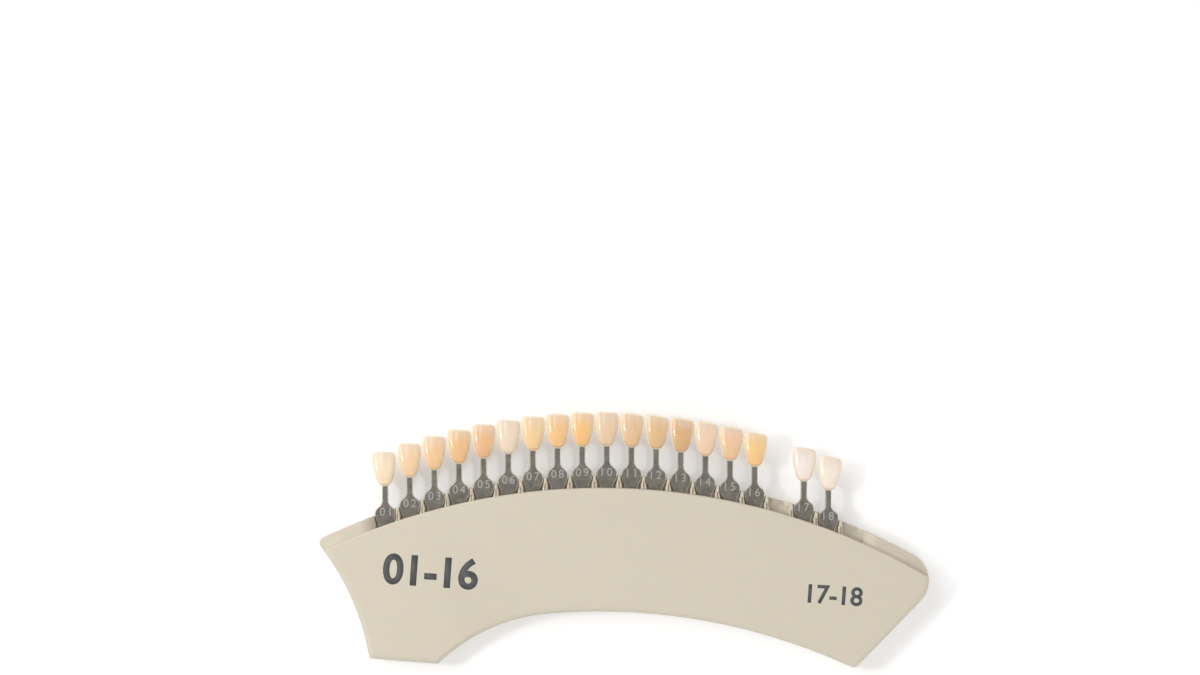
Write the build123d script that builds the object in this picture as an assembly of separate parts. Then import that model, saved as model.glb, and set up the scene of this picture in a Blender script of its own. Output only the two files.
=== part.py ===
from build123d import *
import os
from itertools import pairwise
from math import cos, hypot, pi, radians, sin, sqrt

# Dental shade guide lying on its back: an arched two-shell holder of moulded plastic with a comb of
# parallel slots along its outer edge, and shade tabs that pull out of the slots. A tab is a resin
# incisor crown on a stamped steel handle. Millimetres and degrees, X along the row of tabs, Y the way
# the tabs pull out, Z out of the labelled face. Heights in Y are taken from the centre of the arch.

# Outline of the holder
ARCH_R = 219.3  # outer edge
LEFT_REACH = 25.75  # turn from the crown to the left corner
RIGHT_REACH = 31.8  # turn from the crown to the right corner
WAIST = 45.4  # from the crown down to the throat
THROAT_R = 201.5
THROAT_X = -0.9  # middle of the throat
HEEL_R = 60.4  # tighter end of the throat above the foot
HEEL_TURN = 4.7  # where the throat hands over to the heel
HEEL_END = 44.1  # where the heel meets the foot
FOOT_LENGTH = 23.0
FOOT_TILT = 4.5
HOLLOW_R = 83.3  # hollow left side
TIP_X = 84.8
LEFT_CORNER_R = 3.7
RIGHT_CORNER_R = 9.9
TOE_R = 1.7
TIP_R = 1.8

# Shells
BACK_DEPTH = 7.5
FRONT_DEPTH = 3.0
WALL = 2.0
BACK_EDGE_R = 1.8
FRONT_INSET = 0.4  # outline of the front plate inside that of the back shell
FRONT_EDGE_R = 1.6
SEAM_EDGE_R = 0.7  # upper edge of the front plate
LAND = 4.05  # band of the back shell above the front plate
LAND_CHAMFER = 0.3
END_WALL = 3.0  # between the ends of the slots and the pockets
RIB = 1.6
PIN_R = 1.5
PIN_LENGTH = 4.5
PIN_IN = 34.0  # from the outer edge to the row of pins
PIN_TURN = 11.5
PIN_COUNT = 5
FIRST_PIN = -21.0
BOSS_WALL = 1.5

# Row of slots
SLOT_COUNT = 20
EMPTY_SLOTS = (16, 19)
PITCH = 8.227
ROW_X = 6.05  # middle of the row, to the right of the crown
MOUTH_START = 2.6  # below the lip, where the slot begins to flare
MOUTH_FULL = 0.8  # below the lip, where it is wide enough for the body
GROOVE = 0.45  # groove down the face of the post between two slots
GROOVE_DEPTH = 0.4
POST_CAP = 2.2  # length of post above its groove

# Handle, heights from the level of its slot's lower lip
SHEET = 1.2
NECK_WIDTH = 2.2
NECK_TOP = 9.6  # where the crown starts
TANG = 4.2  # length of neck inside the crown
SHOULDER_TOP = 5.0
BODY_WIDTH = 7.0
BODY_LEVEL = 0.5  # widest level
WAIST_WIDTH = 4.2
WAIST_TOP = -4.3
WAIST_END = -6.5
FOOT_TOP = -8.6
FOOT_WIDTH = 6.1
FOOT_END = -19.0
FOOT_CUT = 1.5  # slanted corners of the foot
SHEET_CHAMFER = 0.3  # rolled front edge of the sheet

# Crown
CROWN_HEIGHT = 11.8
CROWN_WIDTH = 7.9
CERVIX_WIDTH = 3.2
EDGE_WIDTH = 7.6  # incisal edge, before its corners are rounded
WIDTH_RISE = 0.75  # power of the height that the width follows
WIDEST = 0.9
CERVIX_FRONT = 1.3  # depths in front of and behind the middle of the sheet
CERVIX_BACK = 1.2
LABIAL_DEPTH = 3.1
LABIAL_PEAK = 0.62
LINGUAL_DEPTH = 2.4
LINGUAL_PEAK = 0.45
EDGE_FRONT = 1.9
EDGE_THICKNESS = 1.5
DEPTH_RISE = 0.6
ROUNDNESS = 1.6  # of a section, where 2 makes an ellipse and 1 a box
CORNER_SHARE = 0.1  # part of the height that the rounded incisal corners take
CORNER_CUT = 0.75  # how far they are rounded off
CROWN_FACETS = 16  # round a section
LEANS = (3, 1, 0.5, 0, 0, 0, 0, 0, 0, 0, -1, -2.5, -3, -2, -3, -5, -1, -6)  # by hand, left to right

# Clearances
TAB_GAP = 0.15  # handle to the sides and floor of its slot
END_GAP = 0.3  # foot to the end of the slot
PIN_GAP = 0.05
TANG_GAP = 0.05

SEAM_R = ARCH_R - LAND
SLOT_WIDTH = FOOT_WIDTH + 2 * TAB_GAP
MOUTH_WIDTH = BODY_WIDTH + 2 * TAB_GAP
SLOT_HEIGHT = SHEET + 2 * TAB_GAP
SHEET_Z = BACK_DEPTH - SLOT_HEIGHT / 2
SLOT_END = FOOT_END - END_GAP
FIRST_X = ROW_X - PITCH * (SLOT_COUNT - 1) / 2
CROWN_LEVELS = (0, 0.04, 0.15, 0.42, 0.8, 0.95, 1)


def polar(radius, turn, centre=(0, 0)):
    """Point at a turn to the right of straight up from a centre."""
    return centre[0] + radius * sin(radians(turn)), centre[1] + radius * cos(radians(turn))


def on_arc(centre, radius, x):
    """Point of the upper half of a circle."""
    return x, centre[1] + sqrt(radius**2 - (x - centre[0]) ** 2)


def slot_x(index):
    return FIRST_X + PITCH * index


def lip_y(x):
    """Height of the lower of a slot's two lips, which the handle's body rests above."""
    return sqrt(ARCH_R**2 - (abs(x) + SLOT_WIDTH / 2) ** 2)


def on_radius(edge, radius):
    """Whether an edge runs along a circle about the centre of the arch."""
    middle = edge @ 0.5
    return abs(hypot(middle.X, middle.Y) - radius) < 0.01


def corner(shape, point):
    return shape.vertices().sort_by_distance(Vector(*point))[0]


def outline():
    """Arch with a long throat, a foot and a hollow side at the left and a slanted end at the right."""
    throat_centre = (THROAT_X, ARCH_R - WAIST - THROAT_R)
    handover = polar(THROAT_R, -HEEL_TURN, throat_centre)
    heel_centre = polar(THROAT_R - HEEL_R, -HEEL_TURN, throat_centre)
    left = polar(ARCH_R, -LEFT_REACH)
    right = polar(ARCH_R, RIGHT_REACH)
    tip = on_arc(throat_centre, THROAT_R, TIP_X)
    heel = polar(HEEL_R, -HEEL_END, heel_centre)
    rise = radians(FOOT_TILT)
    toe = (heel[0] - FOOT_LENGTH * cos(rise), heel[1] + FOOT_LENGTH * sin(rise))
    middle = on_arc(throat_centre, THROAT_R, TIP_X / 2)
    heel_middle = polar(HEEL_R, -(HEEL_TURN + HEEL_END) / 2, heel_centre)
    edges = [
        ThreePointArc(left, (0, ARCH_R), right),
        Line(right, tip),
        ThreePointArc(tip, middle, handover),
        ThreePointArc(handover, heel_middle, heel),
        Line(heel, toe),
        RadiusArc(toe, left, HOLLOW_R),
    ]
    face = make_face(edges)
    for point, radius in ((left, LEFT_CORNER_R), (right, RIGHT_CORNER_R), (toe, TOE_R), (tip, TIP_R)):
        face = fillet(corner(face, point), radius)
    return face


def pin_places():
    return [Pos(*polar(ARCH_R - PIN_IN, FIRST_PIN + PIN_TURN * k)) for k in range(PIN_COUNT)]


def core(shape):
    """Space inside the walls and below the slots."""
    below_slots = Circle(ARCH_R + SLOT_END - END_WALL)
    return offset(shape, -WALL, kind=Kind.INTERSECTION) & below_slots


def rib_bars():
    """Radial ribs, every second one through a pin."""
    bar = Pos(0, ARCH_R / 2) * Rectangle(RIB, ARCH_R)
    turns = [FIRST_PIN + PIN_TURN * (k - 1) / 2 for k in range(2 * PIN_COUNT + 1)]
    return Sketch() + [Rot(0, 0, -turn) * bar for turn in turns]


def slot_cut(x):
    """Channel for the foot, with a mouth that flares to let the body of the handle down into it."""
    lip = lip_y(x)
    channel = Pos(x, lip + (SLOT_END + LAND) / 2) * Rectangle(SLOT_WIDTH, LAND - SLOT_END)
    half, wide = SLOT_WIDTH / 2, MOUTH_WIDTH / 2
    above = lip + 2 * LAND
    mouth = Polyline(
        (x - wide, above),
        (x - wide, lip - MOUTH_FULL),
        (x - half, lip - MOUTH_START),
        (x + half, lip - MOUTH_START),
        (x + wide, lip - MOUTH_FULL),
        (x + wide, above),
        close=True,
    )
    cutter = extrude(channel + make_face(mouth), SLOT_HEIGHT)
    return Pos(0, 0, BACK_DEPTH - SLOT_HEIGHT) * cutter


def groove_cut(x):
    """Groove down a post, open towards the front and hidden under the front plate at its lower end."""
    top = on_arc((0, 0), ARCH_R, x)[1] - POST_CAP
    centre = Pos(x, top - LAND / 2, BACK_DEPTH - GROOVE_DEPTH / 2)
    return centre * Box(GROOVE, LAND, GROOVE_DEPTH)


def back_shell(shape):
    """Rear moulding: slots and posts along the outer edge, ribbed pockets and bosses below them."""
    body = extrude(shape, BACK_DEPTH)
    body = fillet(body.edges().group_by(Axis.Z)[0], BACK_EDGE_R)
    front_edges = body.edges().group_by(Axis.Z)[-1]
    outer = [e for e in front_edges if on_radius(e, ARCH_R)]
    body = chamfer(outer, LAND_CHAMFER)
    bosses = Sketch() + [place * Circle(PIN_R + PIN_GAP + BOSS_WALL) for place in pin_places()]
    pockets = core(shape) - rib_bars() - bosses
    body -= Pos(0, 0, WALL) * extrude(pockets, BACK_DEPTH)
    sockets = Sketch() + [place * Circle(PIN_R + PIN_GAP) for place in pin_places()]
    depth = PIN_LENGTH + END_GAP
    body -= Pos(0, 0, BACK_DEPTH - depth) * extrude(sockets, depth)
    body -= [slot_cut(slot_x(k)) for k in range(SLOT_COUNT)]
    body -= [groove_cut(slot_x(k) + PITCH / 2) for k in range(SLOT_COUNT - 1)]
    return body


def front_plate(shape):
    """Front moulding: rounded all round, with a tighter edge along the seam, and five locating pins."""
    body = extrude(offset(shape, -FRONT_INSET) & Circle(SEAM_R), FRONT_DEPTH)
    rim = body.edges().group_by(Axis.Z)[-1]
    body = fillet([e for e in rim if not on_radius(e, SEAM_R)], FRONT_EDGE_R)
    rim = body.edges().group_by(Axis.Z)[-1]
    body = fillet([e for e in rim if on_radius(e, SEAM_R)], SEAM_EDGE_R)
    body = Pos(0, 0, BACK_DEPTH) * body
    recess = FRONT_DEPTH - WALL
    body -= Pos(0, 0, BACK_DEPTH) * extrude(core(shape), recess)
    pins = Sketch() + [place * Circle(PIN_R) for place in pin_places()]
    return body + Pos(0, 0, BACK_DEPTH - PIN_LENGTH) * extrude(pins, PIN_LENGTH + recess)


def ogee(x, top, new_x, bottom):
    """Two equal tangent arcs that carry an upright edge from one x to another on its way down."""
    middle = ((x + new_x) / 2, (top + bottom) / 2)
    radius = ((new_x - x) ** 2 + (top - bottom) ** 2) / (4 * (new_x - x))
    return [RadiusArc((x, top), middle, -radius), RadiusArc(middle, (new_x, bottom), radius)]


def handle():
    """Stamped handle: neck, shield-shaped body, waist and foot, rolled over at its front edge."""
    neck, body = NECK_WIDTH / 2, BODY_WIDTH / 2
    waist, foot = WAIST_WIDTH / 2, FOOT_WIDTH / 2
    side = [
        Line((0, NECK_TOP + TANG), (neck, NECK_TOP + TANG)),
        Line((neck, NECK_TOP + TANG), (neck, SHOULDER_TOP)),
        *ogee(neck, SHOULDER_TOP, body, BODY_LEVEL),
        *ogee(body, BODY_LEVEL, waist, WAIST_TOP),
        Line((waist, WAIST_TOP), (waist, WAIST_END)),
        Line((waist, WAIST_END), (foot, FOOT_TOP)),
        Line((foot, FOOT_TOP), (foot, FOOT_END + FOOT_CUT)),
        Line((foot, FOOT_END + FOOT_CUT), (foot - FOOT_CUT, FOOT_END)),
        Line((foot - FOOT_CUT, FOOT_END), (0, FOOT_END)),
    ]
    half = Curve() + side
    face = make_face((half + mirror(half, Plane.YZ)).edges())
    sheet = extrude(face, SHEET / 2, both=True)
    return chamfer(sheet.edges().group_by(Axis.Z)[-1], SHEET_CHAMFER)


def swell(share, start, full, end, peak):
    """Smooth rise from start to full at the peak share of the height, then fall to end."""
    if share < peak:
        return start + (full - start) * sin(pi / 2 * share / peak)
    return full + (end - full) * ((share - peak) / (1 - peak)) ** 2


def reach(half, depth, turn):
    """Distance from the middle of a rounded box to its tangent at a turn."""
    across, through = half * abs(cos(turn)), depth * abs(sin(turn))
    return (across**ROUNDNESS + through**ROUNDNESS) ** (1 / ROUNDNESS)


def crown_section(share):
    """Corners of a section of the crown, where the tangents of a rounded box meet.

    The tangents turn alike in every section, so that the facets between two sections are flat."""
    past = CORNER_CUT * max(0, 1 - (1 - share) / CORNER_SHARE)
    width = swell(share**WIDTH_RISE, CERVIX_WIDTH, CROWN_WIDTH, EDGE_WIDTH, WIDEST)
    half = sqrt(1 - past**2) * width / 2
    edge_back = EDGE_THICKNESS - EDGE_FRONT
    front = swell(share**DEPTH_RISE, CERVIX_FRONT, LABIAL_DEPTH, EDGE_FRONT, LABIAL_PEAK)
    back = swell(share**DEPTH_RISE, CERVIX_BACK, LINGUAL_DEPTH, edge_back, LINGUAL_PEAK)
    depth, middle = (front + back) / 2, (front - back) / 2
    step = 2 * pi / CROWN_FACETS
    corners = []
    for k in range(CROWN_FACETS):
        turn, after = step * k, step * (k + 1)
        near, far = reach(half, depth, turn), reach(half, depth, after)
        x = (near * sin(after) - far * sin(turn)) / sin(step)
        z = (far * cos(turn) - near * cos(after)) / sin(step)
        corners.append(Vector(x, CROWN_HEIGHT * share, middle + z))
    return corners


def facet(*corners):
    return Face(Wire.make_polygon(corners))


def crown():
    """Upper incisor crown, from its cervical end at the handle's neck to its incisal edge."""
    sections = [crown_section(share) for share in CROWN_LEVELS]
    facets = [facet(*sections[0]), facet(*sections[-1])]
    for low, high in pairwise(sections):
        facets += [facet(low[k - 1], low[k], high[k], high[k - 1]) for k in range(CROWN_FACETS)]
    return Solid(Shell(facets))


def crown_on_handle(blank, lean):
    """Crown turned by its lean, with a socket for the neck of the handle."""
    place = Pos(0, NECK_TOP, 0) * Rot(0, 0, lean)
    gap = 2 * TANG_GAP
    socket = Pos(0, NECK_TOP) * Box(NECK_WIDTH + gap, 2 * TANG + gap, SHEET + gap)
    return place * blank - socket


def build():
    """All pieces by name, in the frame of the arch."""
    shape = outline()
    pieces = {"back_shell": back_shell(shape), "front_plate": front_plate(shape)}
    blank_handle, blank_crown = handle(), crown()
    filled = [k for k in range(SLOT_COUNT) if k not in EMPTY_SLOTS]
    for number, (index, lean) in enumerate(zip(filled, LEANS), start=1):
        x = slot_x(index)
        place = Pos(x, lip_y(x), SHEET_Z)
        pieces[f"handle_{number:02d}"] = place * blank_handle
        pieces[f"tooth_{number:02d}"] = place * crown_on_handle(blank_crown, lean)
    return pieces


def main():
    pieces = build()
    box = Compound(list(pieces.values())).bounding_box()
    to_origin = Pos(-box.center().X, -box.center().Y, -box.min.Z)
    os.makedirs("parts", exist_ok=True)
    for name, piece in pieces.items():
        export_step(to_origin * piece, f"parts/{name}.step")


main()
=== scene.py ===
import math

import bmesh
import bpy
import numpy as np
from mathutils import Matrix, Vector


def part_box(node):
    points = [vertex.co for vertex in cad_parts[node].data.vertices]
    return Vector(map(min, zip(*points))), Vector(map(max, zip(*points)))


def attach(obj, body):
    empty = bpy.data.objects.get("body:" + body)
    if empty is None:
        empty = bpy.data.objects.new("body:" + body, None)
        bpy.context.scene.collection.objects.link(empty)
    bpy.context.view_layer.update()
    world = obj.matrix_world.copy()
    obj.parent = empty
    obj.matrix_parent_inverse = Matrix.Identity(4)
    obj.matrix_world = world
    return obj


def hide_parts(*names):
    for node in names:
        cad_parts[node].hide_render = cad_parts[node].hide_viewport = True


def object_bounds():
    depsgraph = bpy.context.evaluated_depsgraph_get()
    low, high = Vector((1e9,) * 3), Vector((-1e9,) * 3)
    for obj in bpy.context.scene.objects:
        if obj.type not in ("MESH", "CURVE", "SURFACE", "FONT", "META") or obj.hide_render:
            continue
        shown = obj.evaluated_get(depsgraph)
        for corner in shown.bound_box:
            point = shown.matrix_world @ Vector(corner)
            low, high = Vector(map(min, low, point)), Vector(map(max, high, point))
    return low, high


bl_info = {
    "name": "Dental shade guide",
    "version": (1, 0, 0),
    "blender": (4, 5, 0),
    "location": "3D View > Sidebar > Shade Guide",
    "description": "Dresses the shade guide: moulded holder, stamped handles and layered resin crowns",
    "category": "Object",
}

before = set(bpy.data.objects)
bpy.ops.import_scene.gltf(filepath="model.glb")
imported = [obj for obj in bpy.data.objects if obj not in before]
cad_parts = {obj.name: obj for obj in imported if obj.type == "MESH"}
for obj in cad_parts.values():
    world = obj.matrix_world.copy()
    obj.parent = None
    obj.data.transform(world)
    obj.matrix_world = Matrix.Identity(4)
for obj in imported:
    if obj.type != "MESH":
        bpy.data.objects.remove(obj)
CAD_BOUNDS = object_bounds()

MM = 0.001
TABS = sorted(name[-2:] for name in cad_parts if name.startswith("handle_"))

# Tab, as in the solids: tang of a handle inside its crown, its length from the slot's lip up to the
# crown, and a crown's height and greatest half width
TANG = 4.2 * MM
NECK = 9.6 * MM
CROWN_HEIGHT = 11.8 * MM
CROWN_HALF = 3.95 * MM

# Outline of a crown from the front: widths are shares of CROWN_HALF, levels are shares of its height
CERVIX_WIDTH = 0.53
EDGE_WIDTH = 0.98
WIDEST = 0.76
CERVIX_ROUND = 2.2 * MM
CORNER_ROUND = 1.6 * MM
CORNER_LOSS = 1.45 * MM

# Depths of a crown in front of and behind the middle of the handle's sheet. Both follow a power of the
# level, and each is full at its peak. EDGE_FRONT is a share of the full depth in front.
DEPTH_RISE = 0.6
DEPTH_ROUND = 1.4 * MM
CERVIX_FRONT = 1.9 * MM
CERVIX_BACK = 1.7 * MM
FRONT_PEAK = 0.62
BACK_PEAK = 0.45
EDGE_FRONT = 0.62
EDGE_THICKNESS = 1.5 * MM

# Powers of the cosine and the sine in a crown's section, where 1 and 1 make an ellipse
ACROSS_POWER = 0.75
THROUGH_POWER = 0.85
MOST_INSET = 0.9  # share of a section's depth that the incisal edge draws in at most

# Top part of a solid crown whose middle shows how the crown leans, as a share of its height
TOP_PART = 0.08

# Furrows down the front of a crown: place and width across, and levels where they start and end
FURROW_PLACE = 0.36
FURROW_WIDTH = 0.13
FURROW_START = (0.3, 0.6)
FURROW_END = (0.93, 1.0)

# Fall of the incisal edge: shares across and up over which it grows, and the first tab that falls more
DROP_ACROSS = (-0.6, 1.2)
DROP_UP = (0.4, 1.0)
STEEPER_FROM = 11

# Bands of a crown's map, from where each starts to where it is full. Those across count from the middle
# to the sides, the last one counts down to the cervix and the others count up from it.
FLANK_BAND = (0.4, 1.0)
# The rim bands lighten the outline: whiter enamel there, with a painted rim of light on it
RIM_AND_SHEEN_BAND = (0.84, 0.9)
VEIL_BAND = (0.55, 1.02)
CERVIX_BAND = (0.05, 0.5)
TOP_BAND = (0.935, 0.965)
BOTTOM_BAND = (0.925, 0.965)

# Growth lines across a crown: stretch and scale of their noise
LINE_STRETCH = (0.15, 1.0, 0.15)
LINE_SCALE = 2200.0

# Left side of the holder, from its corner to its toe, both taken from the low corner of the back shell's
# box. The solids rise over that chord by as much as the real side is hollow. A move inwards is whole in
# the band along the side, and has faded out at the reach.
SIDE_CORNER = Vector((-0.46 * MM, 42.4 * MM))
SIDE_TOE = Vector((17.4 * MM, 3.07 * MM))
SIDE_RISE = 2.85 * MM
SIDE_BAND = 1.8 * MM
SIDE_REACH = 13.0 * MM

# Mesh of a shell: points that are one, points that have moved, flat faces and soft edges
SAME_POINT = 1e-7
MOVED = 1e-9
FLAT = 0.9999
SOFT_EDGE = math.radians(32)

# Handles: size of a normal's Z from the flat face to the bevelled edge that gets a painted highlight and
# from the wall to that edge, and thickness of the etched numbers
GLINT_FACE_TILT = (0.97, 0.6)
GLINT_WALL_TILT = (0.1, 0.5)
ETCH_FILM = 0.015 * MM

# Surface grain: scale of the broad noise beside the fine one, and share of the fine one in both
BROAD_SCALE = 0.12
FINE_SHARE = 0.6

# Printed numbers: words, height, place from the front plate's left end, or from its right end where it
# is less than 0, place below the plate's top, and boldness
LEGENDS = {
    "legend_row": ("01-16", 10.6 * MM, 37.2 * MM, 27.8 * MM, 0.03),
    "legend_pair": ("17-18", 6.4 * MM, -31 * MM, 35.8 * MM, 0.02),
}
LEGEND_TURN = math.radians(-4)

# Lamps: place and size in metres, with a power of the same name in StageLook
LAMPS = {
    "key": ((-0.75, 0.6, 0.95), (1.0, 1.0)),
    "fill": ((0.55, -0.95, 0.7), (0.9, 0.4)),
    "glint": ((-0.87, 0.08, 0.88), (0.22, 0.13)),
    "rim": ((1.2, 0.05, 0.16), (0.9, 0.2)),
}

# Sheet under the guide: gap, half of its side in metres, colour and glow
FLOOR_GAP = 0.02 * MM
FLOOR_HALF = 3.0
FLOOR_COLOUR = (0.9, 0.9, 0.9)
FLOOR_GLOW = 0.22

# Settings that all colours in the panel share
COLOUR = {"subtype": "COLOR", "size": 3}


def tone(red, green, blue):
    """Linear colour of an sRGB colour given in steps of 255."""
    share = np.array((red, green, blue)) / 255
    linear = np.where(share > 0.04045, ((share + 0.055) / 1.055) ** 2.4, share / 12.92)
    return tuple(float(v) for v in linear)


# Dentine of each crown, in the order of the tabs: four hues, each from light to dark, then two bleached
DENTINES = (
    (250, 226, 194), (246, 210, 168), (243, 202, 152), (240, 192, 136), (237, 188, 138), (239, 220, 194),
    (247, 210, 157), (246, 199, 138), (247, 198, 130), (235, 206, 170), (233, 195, 150), (229, 190, 140),
    (222, 178, 124), (244, 210, 178), (242, 200, 158), (250, 206, 138), (253, 236, 226), (254, 236, 222),
)  # fmt: skip


class HolderLook(bpy.types.PropertyGroup):
    colour: bpy.props.FloatVectorProperty(
        name="Plastic", description="Colour of both shells", default=tone(214, 205, 187), **COLOUR
    )
    roughness: bpy.props.FloatProperty(
        name="Roughness", description="Roughness of the moulded face", default=0.5, min=0, max=1
    )
    grain: bpy.props.FloatProperty(
        name="Grain",
        description="Size of the eroded texture of the mould",
        default=0.35 * MM,
        unit="LENGTH",
    )
    print_colour: bpy.props.FloatVectorProperty(
        name="Print", description="Colour of the printed numbers", default=tone(74, 75, 75), **COLOUR
    )
    film: bpy.props.FloatProperty(
        name="Film", description="Thickness of the printed ink", default=0.02 * MM, unit="LENGTH"
    )


class HandleLook(bpy.types.PropertyGroup):
    colour: bpy.props.FloatVectorProperty(
        name="Steel", description="Colour of the tumbled steel", default=tone(112, 108, 101), **COLOUR
    )
    roughness: bpy.props.FloatProperty(
        name="Roughness", description="Roughness of the tumbled face", default=0.38, min=0, max=1
    )
    grain: bpy.props.FloatProperty(
        name="Grain", description="Size of the tumbling marks", default=0.25 * MM, unit="LENGTH"
    )
    # Painted highlight: a light colour laid on the handles' bevelled edges, where the lamps would glint
    glint_colour: bpy.props.FloatVectorProperty(
        name="Edge", description="Colour of the rolled edge", default=tone(214, 208, 196), **COLOUR
    )
    mark_colour: bpy.props.FloatVectorProperty(
        name="Number", description="Colour of the etched number", default=tone(168, 166, 162), **COLOUR
    )
    mark_height: bpy.props.FloatProperty(
        name="Number height", description="Height of an etched number", default=2.7 * MM, unit="LENGTH"
    )
    mark_level: bpy.props.FloatProperty(
        name="Number level",
        description="Middle of a number above the lip",
        default=1.25 * MM,
        unit="LENGTH",
    )


class CrownLook(bpy.types.PropertyGroup):
    roughness: bpy.props.FloatProperty(
        name="Roughness", description="Roughness of the polished resin", default=0.16, min=0, max=1
    )
    glow: bpy.props.FloatProperty(
        name="Depth", description="Share of light that enters the resin", default=0.25, min=0, max=1
    )
    furrow: bpy.props.FloatProperty(
        name="Furrow",
        description="Depth of the two furrows down the front",
        default=0.09 * MM,
        unit="LENGTH",
    )
    edge_radius: bpy.props.FloatProperty(
        name="Edge radius", description="Rounding of the incisal edge", default=0.45 * MM, unit="LENGTH"
    )
    drop: bpy.props.FloatProperty(
        name="Drop",
        description="Fall of the edge towards its rounder corner",
        default=0.25 * MM,
        unit="LENGTH",
    )
    steep_drop: bpy.props.FloatProperty(
        name="Steep drop",
        description="The same fall on the last tabs of the row",
        default=0.8 * MM,
        unit="LENGTH",
    )
    # Rim colour: whiter enamel at the flanks and outline; at the outline it also serves as a painted rim of
    # light
    rim: bpy.props.FloatVectorProperty(
        name="Rim", description="Colour of the enamel at the outline", default=tone(247, 234, 208), **COLOUR
    )
    veil: bpy.props.FloatVectorProperty(
        name="Veil", description="Colour of the clear incisal zone", default=tone(232, 214, 196), **COLOUR
    )


class StageLook(bpy.types.PropertyGroup):
    distance: bpy.props.FloatProperty(
        name="Distance", description="From the camera to the guide", default=1.6, unit="LENGTH"
    )
    field: bpy.props.FloatProperty(
        name="Field", description="Width that the picture covers at the guide", default=0.4, unit="LENGTH"
    )
    aim_x: bpy.props.FloatProperty(
        name="Aim X",
        description="Middle of the picture beside the guide's",
        default=-7.7 * MM,
        unit="LENGTH",
    )
    aim_y: bpy.props.FloatProperty(
        name="Aim Y",
        description="Middle of the picture above the guide's",
        default=67.5 * MM,
        unit="LENGTH",
    )
    key: bpy.props.FloatProperty(
        name="Key", description="Power of the main lamp", default=6.8, unit="POWER"
    )
    fill: bpy.props.FloatProperty(
        name="Fill", description="Power of the lamp opposite", default=3.5, unit="POWER"
    )
    glint: bpy.props.FloatProperty(
        name="Glint",
        description="Power of the small lamp that the crowns mirror",
        default=3.3,
        unit="POWER",
    )
    rim: bpy.props.FloatProperty(
        name="Rim", description="Power of the low lamp that catches the edges", default=1.4, unit="POWER"
    )
    air: bpy.props.FloatProperty(name="Air", description="Strength of the light all round", default=0.5)


def put(tree, kind, values=None, **settings):
    """Adds a node. Values go to its sockets by name or number, and a socket among them is linked."""
    node = tree.nodes.new(kind)
    for key, value in settings.items():
        setattr(node, key, value)
    for key, value in (values or {}).items():
        socket = node.inputs[key]
        if isinstance(value, bpy.types.NodeSocket):
            tree.links.new(value, socket)
        else:
            socket.default_value = value
    return node


def sum_of(tree, operation, first, second=0.0, third=0.0):
    """Result of a Math node."""
    return put(tree, "ShaderNodeMath", {0: first, 1: second, 2: third}, operation=operation).outputs[0]


def ramp(tree, value, low, high):
    """Smooth step from 0 at low to 1 at high."""
    values = {"Value": value, "From Min": low, "From Max": high}
    return put(tree, "ShaderNodeMapRange", values, interpolation_type="SMOOTHSTEP").outputs["Result"]


def mixed(tree, share, first, second, blend="MIX"):
    """One colour laid over another by a share. The colours of a Mix node are its inputs 6 and 7."""
    values = {0: share, 6: first, 7: second}
    return put(tree, "ShaderNodeMix", values, data_type="RGBA", blend_type=blend).outputs[2]


def group(name, inputs, outputs):
    """Empty shader group with named sockets: floats, or colours where the default is four numbers."""
    tree = bpy.data.node_groups.new(name, "ShaderNodeTree")
    for label, default in inputs.items():
        kind = "NodeSocketColor" if isinstance(default, tuple) else "NodeSocketFloat"
        tree.interface.new_socket(label, in_out="INPUT", socket_type=kind).default_value = default
    for label, kind in outputs.items():
        tree.interface.new_socket(label, in_out="OUTPUT", socket_type=kind)
    return tree, tree.nodes.new("NodeGroupInput").outputs, tree.nodes.new("NodeGroupOutput").inputs


def noise(tree, place, scale, detail):
    """Noise from 0 to 1 at a place."""
    values = {"Vector": place, "Scale": scale, "Detail": detail}
    return put(tree, "ShaderNodeTexNoise", values).outputs["Fac"]


def grain_group():
    """Fine and broad noise in object space: a mottled colour, a height for bump and a mask for gloss."""
    if "Surface grain" in bpy.data.node_groups:
        return bpy.data.node_groups["Surface grain"]
    inputs = {"Colour": (0.5, 0.5, 0.5, 1), "Size": 1.0 * MM, "Mottle": 0.1}
    outputs = {"Colour": "NodeSocketColor", "Height": "NodeSocketFloat", "Mask": "NodeSocketFloat"}
    tree, given, result = group("Surface grain", inputs, outputs)
    place = put(tree, "ShaderNodeTexCoord").outputs["Object"]
    scale = sum_of(tree, "DIVIDE", 1.0, given["Size"])
    fine = noise(tree, place, scale, detail=3.0)
    broad = noise(tree, place, sum_of(tree, "MULTIPLY", scale, BROAD_SCALE), detail=2.0)
    fine_part = sum_of(tree, "MULTIPLY", fine, FINE_SHARE)
    both = sum_of(tree, "ADD", fine_part, sum_of(tree, "MULTIPLY", broad, 1 - FINE_SHARE))
    swing = sum_of(tree, "MULTIPLY", sum_of(tree, "SUBTRACT", both, 0.5), given["Mottle"])
    level = sum_of(tree, "ADD", swing, 1.0)
    grey = put(tree, "ShaderNodeCombineColor", {0: level, 1: level, 2: level}).outputs[0]
    tree.links.new(mixed(tree, 1.0, given["Colour"], grey, "MULTIPLY"), result["Colour"])
    tree.links.new(fine, result["Height"])
    tree.links.new(both, result["Mask"])
    return tree


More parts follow.
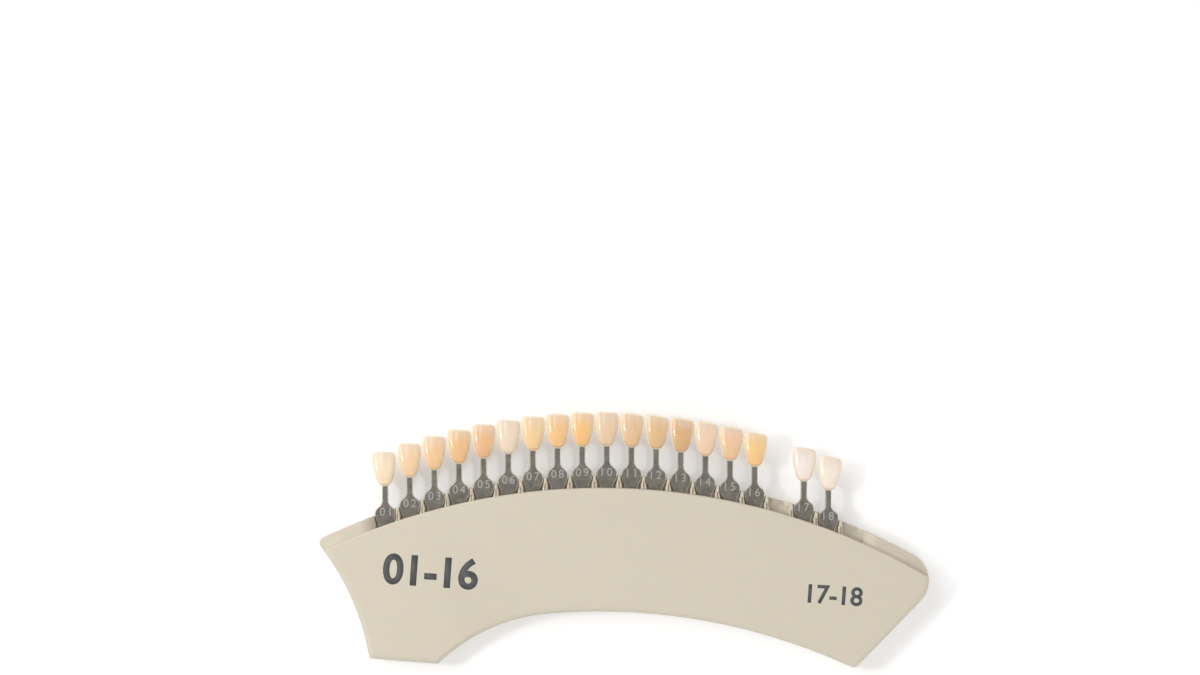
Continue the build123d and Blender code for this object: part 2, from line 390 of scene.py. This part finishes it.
def layer_group():
    """Layers of a resin crown by the crown's own map, across in U and up in V.

    Over the dentine lie enamel at the flanks, a veil towards the incisal edge and a warmer tone towards
    the cervix. A rim follows the outline: whiter enamel there, with a painted rim of light on it, and a
    darker line of the warm tone along its inside."""
    if "Resin layers" in bpy.data.node_groups:
        return bpy.data.node_groups["Resin layers"]
    white = (1.0, 1.0, 1.0, 1.0)
    inputs = {
        "Dentine": white, "Veil": white, "Rim": white, "Warmth": (0.9, 0.79, 0.65, 1.0),
        "Flank share": 0.35, "Veil share": 0.6, "Cervix share": 0.25, "Line share": 3.2, "Rim share": 0.95,
        "Cloud": 330.0, "Drift": 0.22,
    }  # fmt: skip
    tree, given, result = group("Resin layers", inputs, {"Colour": "NodeSocketColor"})
    coordinates = put(tree, "ShaderNodeTexCoord").outputs
    across, up = put(tree, "ShaderNodeSeparateXYZ", {0: coordinates["UV"]}).outputs[:2]
    across = sum_of(tree, "ABSOLUTE", sum_of(tree, "MULTIPLY_ADD", across, 2.0, -1.0))
    cloud = noise(tree, coordinates["Object"], given["Cloud"], detail=2.0)
    drift = sum_of(tree, "MULTIPLY", sum_of(tree, "SUBTRACT", cloud, 0.5), given["Drift"])
    up_drifted = sum_of(tree, "ADD", up, drift)
    flank = ramp(tree, sum_of(tree, "ADD", across, drift), *FLANK_BAND)
    flank = sum_of(tree, "MULTIPLY", flank, given["Flank share"])
    shell = mixed(tree, flank, given["Dentine"], given["Rim"])
    veil = ramp(tree, up_drifted, *VEIL_BAND)
    shell = mixed(tree, sum_of(tree, "MULTIPLY", veil, given["Veil share"]), shell, given["Veil"])
    warm = mixed(tree, 1.0, given["Dentine"], given["Warmth"], "MULTIPLY")
    cervix = sum_of(tree, "SUBTRACT", 1.0, ramp(tree, up_drifted, *CERVIX_BAND))
    shell = mixed(tree, sum_of(tree, "MULTIPLY", cervix, given["Cervix share"]), shell, warm)
    # Painted rim of light on whiter enamel along the outline, the top and bottom ends included
    bottom = ramp(tree, sum_of(tree, "SUBTRACT", 1.0, up), *BOTTOM_BAND)
    ends = sum_of(tree, "MAXIMUM", ramp(tree, up, *TOP_BAND), bottom)
    rim = sum_of(tree, "MAXIMUM", ramp(tree, across, *RIM_AND_SHEEN_BAND), ends)
    line = sum_of(tree, "MULTIPLY", rim, sum_of(tree, "SUBTRACT", 1.0, rim))
    shell = mixed(tree, sum_of(tree, "MULTIPLY", line, given["Line share"]), shell, warm)
    shell = mixed(tree, sum_of(tree, "MULTIPLY", rim, given["Rim share"]), shell, given["Rim"])
    tree.links.new(shell, result["Colour"])
    return tree


def material(name, colour, roughness, **sockets):
    """Material with its Principled shader, constant values set on the shader itself."""
    made = bpy.data.materials.new(name)
    made.use_nodes = True
    shader = made.node_tree.nodes["Principled BSDF"]
    shader.inputs["Base Color"].default_value = (*colour, 1)
    shader.inputs["Roughness"].default_value = roughness
    for label, value in sockets.items():
        shader.inputs[label.replace("_", " ")].default_value = value
    return made, made.node_tree, shader


def add_bump(tree, shader, height, depth):
    """Bump of a depth in metres under a height from 0 to 1."""
    bump = put(tree, "ShaderNodeBump", {"Height": height, "Distance": depth, "Strength": 1.0})
    tree.links.new(bump.outputs[0], shader.inputs["Normal"])


def add_gloss(tree, shader, mask, smooth, rough):
    """Roughness that swings between two values with a mask."""
    swing = put(tree, "ShaderNodeMapRange", {"Value": mask, "To Min": smooth, "To Max": rough})
    tree.links.new(swing.outputs[0], shader.inputs["Roughness"])


def add_grain(tree, colour, size, mottle):
    """Outputs of the grain group for a colour, the size of its fine noise and its mottling."""
    values = {"Colour": (*colour, 1), "Size": size, "Mottle": mottle}
    return put(tree, "ShaderNodeGroup", values, node_tree=grain_group()).outputs


def plastic(look):
    """Holder plastic: eroded mould texture, faintly mottled, a little glossier where it is smoother."""
    made, tree, shader = material(
        "holder_plastic", look.colour, look.roughness, Subsurface_Weight=0.25, Subsurface_Scale=0.8 * MM
    )
    grain = add_grain(tree, look.colour, look.grain, mottle=0.05)
    tree.links.new(grain["Colour"], shader.inputs["Base Color"])
    add_gloss(tree, shader, grain["Mask"], smooth=look.roughness - 0.08, rough=look.roughness + 0.1)
    add_bump(tree, shader, grain["Height"], depth=0.012 * MM)
    return made


def steel(look):
    """Tumbled steel: blotched grey, with a painted highlight on the edge where the face rolls over to its
    walls.
    """
    made, tree, shader = material("handle_steel", look.colour, look.roughness, Metallic=1.0)
    grain = add_grain(tree, look.colour, look.grain, mottle=2.2)
    # Painted highlight: where the normal's Z lies between the flat face and the wall, the light edge colour
    # goes over the steel
    normal = put(tree, "ShaderNodeNewGeometry").outputs["Normal"]
    upright = sum_of(tree, "ABSOLUTE", put(tree, "ShaderNodeSeparateXYZ", {0: normal}).outputs[2])
    glinting = sum_of(tree, "MULTIPLY", ramp(tree, upright, *GLINT_FACE_TILT), ramp(tree, upright, *GLINT_WALL_TILT))
    bright = mixed(tree, glinting, grain["Colour"], (*look.glint_colour, 1))
    tree.links.new(bright, shader.inputs["Base Color"])
    add_gloss(tree, shader, grain["Mask"], smooth=look.roughness - 0.1, rough=look.roughness + 0.15)
    add_bump(tree, shader, grain["Height"], depth=0.02 * MM)
    return made


def ink(name, colour, roughness):
    """Thin printed or etched film with a faint grain."""
    made, tree, shader = material(name, colour, roughness)
    grain = add_grain(tree, colour, size=0.15 * MM, mottle=0.25)
    tree.links.new(grain["Colour"], shader.inputs["Base Color"])
    add_bump(tree, shader, grain["Height"], depth=0.005 * MM)
    return made


def resin(number, look):
    """Layered resin of one shade, glossy, slightly lit from within and with fine growth lines across."""
    dentine = tone(*DENTINES[number - 1])
    made, tree, shader = material(
        f"resin_{number:02d}",
        dentine,
        look.roughness,
        Subsurface_Weight=look.glow,
        Subsurface_Scale=1.2 * MM,
        Coat_Weight=0.3,
        Coat_Roughness=0.08,
    )
    values = {"Dentine": (*dentine, 1), "Veil": (*look.veil, 1), "Rim": (*look.rim, 1)}
    layers = put(tree, "ShaderNodeGroup", values, node_tree=layer_group())
    tree.links.new(layers.outputs["Colour"], shader.inputs["Base Color"])
    place = put(tree, "ShaderNodeTexCoord").outputs["Object"]
    stretched = put(tree, "ShaderNodeMapping", {"Vector": place, "Scale": LINE_STRETCH}).outputs[0]
    add_bump(tree, shader, noise(tree, stretched, LINE_SCALE, detail=1.0), depth=0.006 * MM)
    return made


def dress(name, made):
    """Gives a solid its material."""
    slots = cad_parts[name].data.materials
    slots.clear()
    slots.append(made)


def placed(name, data):
    """New object at the origin, linked to the scene."""
    piece = bpy.data.objects.new(name, data)
    bpy.context.scene.collection.objects.link(piece)
    return piece


def points_of(mesh):
    """Points of a mesh, one to a row."""
    flat = np.empty(len(mesh.vertices) * 3, np.float32)
    mesh.vertices.foreach_get("co", flat)
    return flat.reshape(-1, 3)


def shade_smooth(mesh):
    """Sets all faces of a mesh to smooth shading."""
    mesh.polygons.foreach_set("use_smooth", np.ones(len(mesh.polygons), bool))


def lettering(name, words, height, place, turn, film, made, bold=0.0, spacing=1.0):
    """Printed words: outlines of the built-in font given a film's thickness, laid flat at a place."""
    curve = bpy.data.curves.new(name, "FONT")
    curve.body = words
    curve.align_x = "CENTER"
    curve.align_y = "CENTER"
    curve.resolution_u = 6
    curve.offset = bold
    curve.space_character = spacing
    source = placed(name, curve)
    bpy.context.view_layer.update()
    depsgraph = bpy.context.evaluated_depsgraph_get()
    mesh = bpy.data.meshes.new_from_object(source.evaluated_get(depsgraph))
    bpy.data.objects.remove(source)
    mesh.name = name
    points = points_of(mesh)
    low, high = points.min(0), points.max(0)
    middle = (high + low) / 2
    scale = height / (high[1] - low[1])
    move = Matrix.Translation(place) @ Matrix.Rotation(turn, 4, "Z") @ Matrix.Scale(scale, 4)
    mesh.transform(move @ Matrix.Translation(Vector((-middle[0], -middle[1], 0))))
    piece = placed(name, mesh)
    solid = piece.modifiers.new("Film", "SOLIDIFY")
    solid.thickness = film
    solid.offset = 1
    mesh.materials.append(made)
    return piece


def swell(share, start, full, end, peak):
    """Smooth rise from start to full at the peak share, by a sine, then a parabola down to end."""
    rising = start + (full - start) * np.sin(np.pi / 2 * np.minimum(share / peak, 1))
    past = np.clip((share - peak) / (1 - peak), 0, 1)
    return np.where(share < peak, rising, full + (end - full) * past**2)


def round_end(distance, radius):
    """Height of a circle's edge over its own radius, at a distance from where the circle starts."""
    return np.sqrt(1 - (1 - np.clip(distance / radius, 0, 1)) ** 2)


def ramp_of(value, low, high):
    """Smooth step of an array from 0 at low to 1 at high."""
    share = np.clip((value - low) / (high - low), 0, 1)
    return share * share * (3 - 2 * share)


def crown_surface(look, drop, front_depth, back_depth):
    """Grid of the crown, in its own frame: X across, Y up from the cervix, Z to the front.

    Each row is a rounded box, a power of the cosine across and of the sine through. Its half width
    rises by a sine and falls by a parabola, times a quarter circle at the cervix and less an ellipse at
    the incisal corners. Its depths rise and fall in the same way over a power of the level.
    At the incisal edge, rows draw in along a quarter circle and close on the middle of the section.
    The edge drops towards one corner, and two furrows press into the upper front."""
    rows, round_rows, columns = 56, 7, 80
    first_turn = 0.06 * np.pi
    radius = look.edge_radius
    quarter = np.linspace(0, np.pi / 2, round_rows)[1:]
    body = (1 - np.cos(np.linspace(first_turn, np.pi, rows))) / 2 * (CROWN_HEIGHT - radius)
    height = np.concatenate([body, CROWN_HEIGHT - radius * (1 - np.sin(quarter))])
    inset = np.concatenate([np.zeros(rows), radius * (1 - np.cos(quarter))])[:, None]
    y, turn = np.meshgrid(height, np.linspace(0, 2 * np.pi, columns, endpoint=False), indexing="ij")
    v = y / CROWN_HEIGHT
    half = swell(v, CERVIX_WIDTH * CROWN_HALF, CROWN_HALF, EDGE_WIDTH * CROWN_HALF, WIDEST)
    half = half * round_end(y, CERVIX_ROUND) - CORNER_LOSS * (1 - round_end(CROWN_HEIGHT - y, CORNER_ROUND))
    end, rise, front_edge = round_end(y, DEPTH_ROUND), v**DEPTH_RISE, EDGE_FRONT * front_depth
    front = end * swell(rise, CERVIX_FRONT, front_depth, front_edge, FRONT_PEAK)
    back = end * swell(rise, CERVIX_BACK, back_depth, EDGE_THICKNESS - front_edge, BACK_PEAK)
    cosine, sine = np.cos(turn), np.sin(turn)
    x = (half - inset) * np.sign(cosine) * np.abs(cosine) ** ACROSS_POWER
    middle, depth = (front - back) / 2, (front + back) / 2
    depth_left = depth - np.minimum(inset, MOST_INSET * depth)
    z = middle + depth_left * np.sign(sine) * np.abs(sine) ** THROUGH_POWER
    across = x / CROWN_HALF
    reach = ramp_of(v, *FURROW_START) * (1 - ramp_of(v, *FURROW_END))
    valley = np.exp(-(((np.abs(across) - FURROW_PLACE) / FURROW_WIDTH) ** 2))
    z -= look.furrow * reach * valley * np.clip(sine, 0, 1)
    y = y - drop * ramp_of(across, *DROP_ACROSS) * ramp_of(v, *DROP_UP)
    grid = np.stack([x, y, z], axis=-1)
    ends = np.stack([(0, 0, grid[0, :, 2].mean()), (0, grid[-1, :, 1].mean(), grid[-1, :, 2].mean())])
    uv = np.stack([0.5 + 0.5 * x / half, v], axis=-1)
    return grid, ends, uv


def closed_grid(grid, ends):
    """Points and faces of rows closed round, with a fan to a middle point at each end."""
    rows, columns = grid.shape[:2]
    index = np.arange(rows * columns).reshape(rows, columns)
    after = np.roll(index, -1, axis=1)
    quads = np.stack([index[:-1], index[1:], after[1:], after[:-1]], axis=-1).reshape(-1, 4)
    first, last = rows * columns, rows * columns + 1
    low = np.stack([np.full(columns, first), index[0], after[0]], axis=-1)
    high = np.stack([np.full(columns, last), after[-1], index[-1]], axis=-1)
    return np.concatenate([grid.reshape(-1, 3), ends]), [*quads.tolist(), *low.tolist(), *high.tolist()]


def crown_piece(number, look, made):
    """Crown of one tab, on the tang of its handle and leaning as its solid does."""
    tooth, name = f"tooth_{number}", f"crown_{number}"
    low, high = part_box(f"handle_{number}")
    base = Vector(((low.x + high.x) / 2, high.y - TANG, (low.z + high.z) / 2))
    points = points_of(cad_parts[tooth].data)
    top = points[points[:, 1] > points[:, 1].max() - TOP_PART * CROWN_HEIGHT]
    shift = (top[:, 0].max() + top[:, 0].min()) / 2 - base.x
    lean = -math.asin(shift / CROWN_HEIGHT)
    front_depth = points[:, 2].max() - base.z
    back_depth = base.z - points[:, 2].min()
    drop = look.drop if int(number) < STEEPER_FROM else look.steep_drop
    grid, ends, uv = crown_surface(look, drop, front_depth, back_depth)
    grid_points, faces = closed_grid(grid, ends)
    mesh = bpy.data.meshes.new(name)
    mesh.from_pydata(grid_points.tolist(), [], faces)
    corners = np.empty(len(mesh.loops), np.int32)
    mesh.loops.foreach_get("vertex_index", corners)
    places = np.concatenate([uv.reshape(-1, 2), [[0.5, 0.0], [0.5, 1.0]]])
    layer = mesh.uv_layers.new(name="Crown map")
    layer.uv.foreach_set("vector", places[corners].astype(np.float32).ravel())
    shade_smooth(mesh)
    mesh.transform(Matrix.Translation(base) @ Matrix.Rotation(lean, 4, "Z"))
    mesh.materials.append(made)
    piece = placed(name, mesh)
    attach(piece, f"tab_{number}")
    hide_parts(tooth)


def pressed_in(points, corner):
    """Points of a shell with its left side pressed in from its bulge to the hollow of the real one.

    Each point moves inwards by 2 x rise x 4t(1 - t) at a share t of the side's chord. The move is whole
    in the band along the side and fades by a smooth step from there to the reach."""
    start, end = corner + SIDE_CORNER, corner + SIDE_TOE
    chord = end - start
    along = np.array(chord.normalized())
    inward = np.array((-along[1], along[0]))
    away = points[:, :2] - np.array(start)
    share = np.clip(away @ along / chord.length, 0, 1)
    fade = 1 - ramp_of(away @ inward, SIDE_BAND, SIDE_REACH)
    moved = points.copy()
    moved[:, :2] += (2 * SIDE_RISE * 4 * share * (1 - share) * fade)[:, None] * inward
    return moved


def shell_piece(name, made):
    """Shell of the holder with its hollow side. Flat faces that the move reaches are filled anew."""
    work = bmesh.new()
    work.from_mesh(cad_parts[name].data)
    bmesh.ops.remove_doubles(work, verts=work.verts, dist=SAME_POINT)
    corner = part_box("back_shell")[0].xy
    points = np.array([vert.co[:] for vert in work.verts])
    moved = pressed_in(points, corner)
    shifted = np.abs(moved - points).max(axis=1) > MOVED
    levels = {}
    for face in work.faces:
        if abs(face.normal.z) > FLAT and any(shifted[vert.index] for vert in face.verts):
            levels.setdefault((round(face.verts[0].co.z, 6), face.normal.z > 0), set()).add(face)
    outlines = []
    for (_, up), faces in levels.items():
        edges = {edge for face in faces for edge in face.edges}
        outlines.append((up, [edge for edge in edges if len(faces.intersection(edge.link_faces)) == 1]))
    for vert, place in zip(work.verts, moved):
        vert.co = place
    bmesh.ops.delete(work, geom=[face for faces in levels.values() for face in faces], context="FACES")
    for up, edges in outlines:
        bmesh.ops.triangle_fill(work, use_beauty=True, edges=edges, normal=(0, 0, 1 if up else -1))
    bmesh.ops.recalc_face_normals(work, faces=work.faces)
    mesh = bpy.data.meshes.new(f"{name}_hollow")
    work.to_mesh(mesh)
    work.free()
    shade_smooth(mesh)
    mesh.set_sharp_from_angle(angle=SOFT_EDGE)
    mesh.materials.append(made)
    piece = placed(f"{name}_hollow", mesh)
    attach(piece, "holder")
    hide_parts(name)


class GUIDE_OT_holder(bpy.types.Operator):
    """Puts both shells of the holder in moulded plastic, hollow at their left side."""

    bl_idname = "guide.holder"
    bl_label = "Dress the holder"

    def execute(self, context):
        made = plastic(context.scene.guide_holder)
        for name in ("back_shell", "front_plate"):
            shell_piece(name, made)
        return {"FINISHED"}


class GUIDE_OT_legend(bpy.types.Operator):
    """Prints plain numbers on the holder's face: the row's range at the left, the pair's at the right."""

    bl_idname = "guide.legend"
    bl_label = "Print the legend"

    def execute(self, context):
        look = context.scene.guide_holder
        made = ink("legend_ink", look.print_colour, roughness=0.55)
        low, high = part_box("front_plate")
        for name, (words, height, along, below, bold) in LEGENDS.items():
            place = Vector((along + (low.x if along > 0 else high.x), high.y - below, high.z))
            piece = lettering(name, words, height, place, LEGEND_TURN, look.film, made, bold=bold)
            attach(piece, "holder")
        return {"FINISHED"}


class GUIDE_OT_handles(bpy.types.Operator):
    """Gives the handles their tumbled steel and etches a plain number on each."""

    bl_idname = "guide.handles"
    bl_label = "Dress the handles"

    def execute(self, context):
        look = context.scene.guide_handle
        made = steel(look)
        etched = ink("number_etch", look.mark_colour, roughness=0.5)
        for number in TABS:
            handle, name = f"handle_{number}", f"number_{number}"
            dress(handle, made)
            low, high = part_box(handle)
            level = high.y - TANG - NECK + look.mark_level
            place = Vector(((low.x + high.x) / 2, level, high.z))
            piece = lettering(name, number, look.mark_height, place, 0, ETCH_FILM, etched, spacing=1.3)
            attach(piece, f"tab_{number}")
        return {"FINISHED"}


class GUIDE_OT_crowns(bpy.types.Operator):
    """Builds a layered resin crown on each handle in place of its plain solid."""

    bl_idname = "guide.crowns"
    bl_label = "Build the crowns"

    def execute(self, context):
        look = context.scene.guide_crown
        for number in TABS:
            crown_piece(number, look, resin(int(number), look))
        return {"FINISHED"}


def area_lamp(name, place, target, size, power):
    """Soft lamp aimed at a point."""
    data = bpy.data.lights.new(name, "AREA")
    data.shape = "RECTANGLE"
    data.size, data.size_y = size
    data.energy = power
    lamp = placed(name, data)
    lamp.location = place
    lamp.rotation_euler = (Vector(target) - Vector(place)).to_track_quat("-Z", "Y").to_euler()


def seen_rays(tree):
    """1 for rays that show the background: camera, glossy and transmission rays."""
    path = put(tree, "ShaderNodeLightPath").outputs
    shown = sum_of(tree, "MAXIMUM", path["Is Camera Ray"], path["Is Glossy Ray"])
    return sum_of(tree, "MAXIMUM", shown, path["Is Transmission Ray"])


def white_floor(level):
    """Large pale sheet that the guide lies on, brightened where it is only seen."""
    made, tree, shader = material("floor_paper", FLOOR_COLOUR, roughness=0.8)
    shader.inputs["Emission Color"].default_value = (1, 1, 1, 1)
    glow = sum_of(tree, "MULTIPLY", seen_rays(tree), FLOOR_GLOW)
    tree.links.new(glow, shader.inputs["Emission Strength"])
    corners = [(x * FLOOR_HALF, y * FLOOR_HALF, level) for x, y in ((-1, -1), (1, -1), (1, 1), (-1, 1))]
    mesh = bpy.data.meshes.new("floor")
    mesh.from_pydata(corners, [], [(0, 1, 2, 3)])
    mesh.materials.append(made)
    floor = placed("floor", mesh)


class GUIDE_OT_stage(bpy.types.Operator):
    """Sets the pale floor, the lamps, the light all round and the camera."""

    bl_idname = "guide.stage"
    bl_label = "Set the stage"

    def execute(self, context):
        look = context.scene.guide_stage
        low, high = CAD_BOUNDS
        middle = (low + high) / 2
        white_floor(low.z - FLOOR_GAP)
        for name, (place, size) in LAMPS.items():
            area_lamp(f"{name}_lamp", place, middle, size, getattr(look, name))
        world = bpy.data.worlds.new("studio")
        world.use_nodes = True
        context.scene.world = world
        tree = world.node_tree
        strength = sum_of(tree, "MAXIMUM", seen_rays(tree), look.air)
        tree.links.new(strength, tree.nodes["Background"].inputs["Strength"])
        tree.nodes["Background"].inputs["Color"].default_value = (1, 1, 1, 1)
        data = bpy.data.cameras.new("camera")
        data.lens = data.sensor_width * look.distance / look.field
        data.clip_end = 20
        camera = placed("camera", data)
        camera.location = (middle.x + look.aim_x, middle.y + look.aim_y, high.z + look.distance)
        context.scene.camera = camera
        context.scene.view_settings.view_transform = "Standard"
        return {"FINISHED"}


OPERATORS = (GUIDE_OT_holder, GUIDE_OT_legend, GUIDE_OT_handles, GUIDE_OT_crowns, GUIDE_OT_stage)
LOOKS = {
    "guide_holder": HolderLook,
    "guide_handle": HandleLook,
    "guide_crown": CrownLook,
    "guide_stage": StageLook,
}


class GUIDE_PT_panel(bpy.types.Panel):
    """Panel in the sidebar with the looks and the steps."""

    bl_label = "Shade Guide"
    bl_idname = "GUIDE_PT_panel"
    bl_space_type = "VIEW_3D"
    bl_region_type = "UI"
    bl_category = "Shade Guide"

    def draw(self, context):
        for name, kind in LOOKS.items():
            box = self.layout.box()
            for label in kind.__annotations__:
                box.prop(getattr(context.scene, name), label)
        for operator in OPERATORS:
            self.layout.operator(operator.bl_idname)


CLASSES = (*LOOKS.values(), *OPERATORS, GUIDE_PT_panel)


def register():
    for kind in CLASSES:
        bpy.utils.register_class(kind)
    for name, kind in LOOKS.items():
        setattr(bpy.types.Scene, name, bpy.props.PointerProperty(type=kind))


def unregister():
    for name in LOOKS:
        delattr(bpy.types.Scene, name)
    for kind in reversed(CLASSES):
        bpy.utils.unregister_class(kind)


def main():
    register()
    bpy.ops.guide.holder()
    bpy.ops.guide.legend()
    bpy.ops.guide.handles()
    bpy.ops.guide.crowns()
    bpy.ops.guide.stage()


if __name__ == "__main__":
    main()
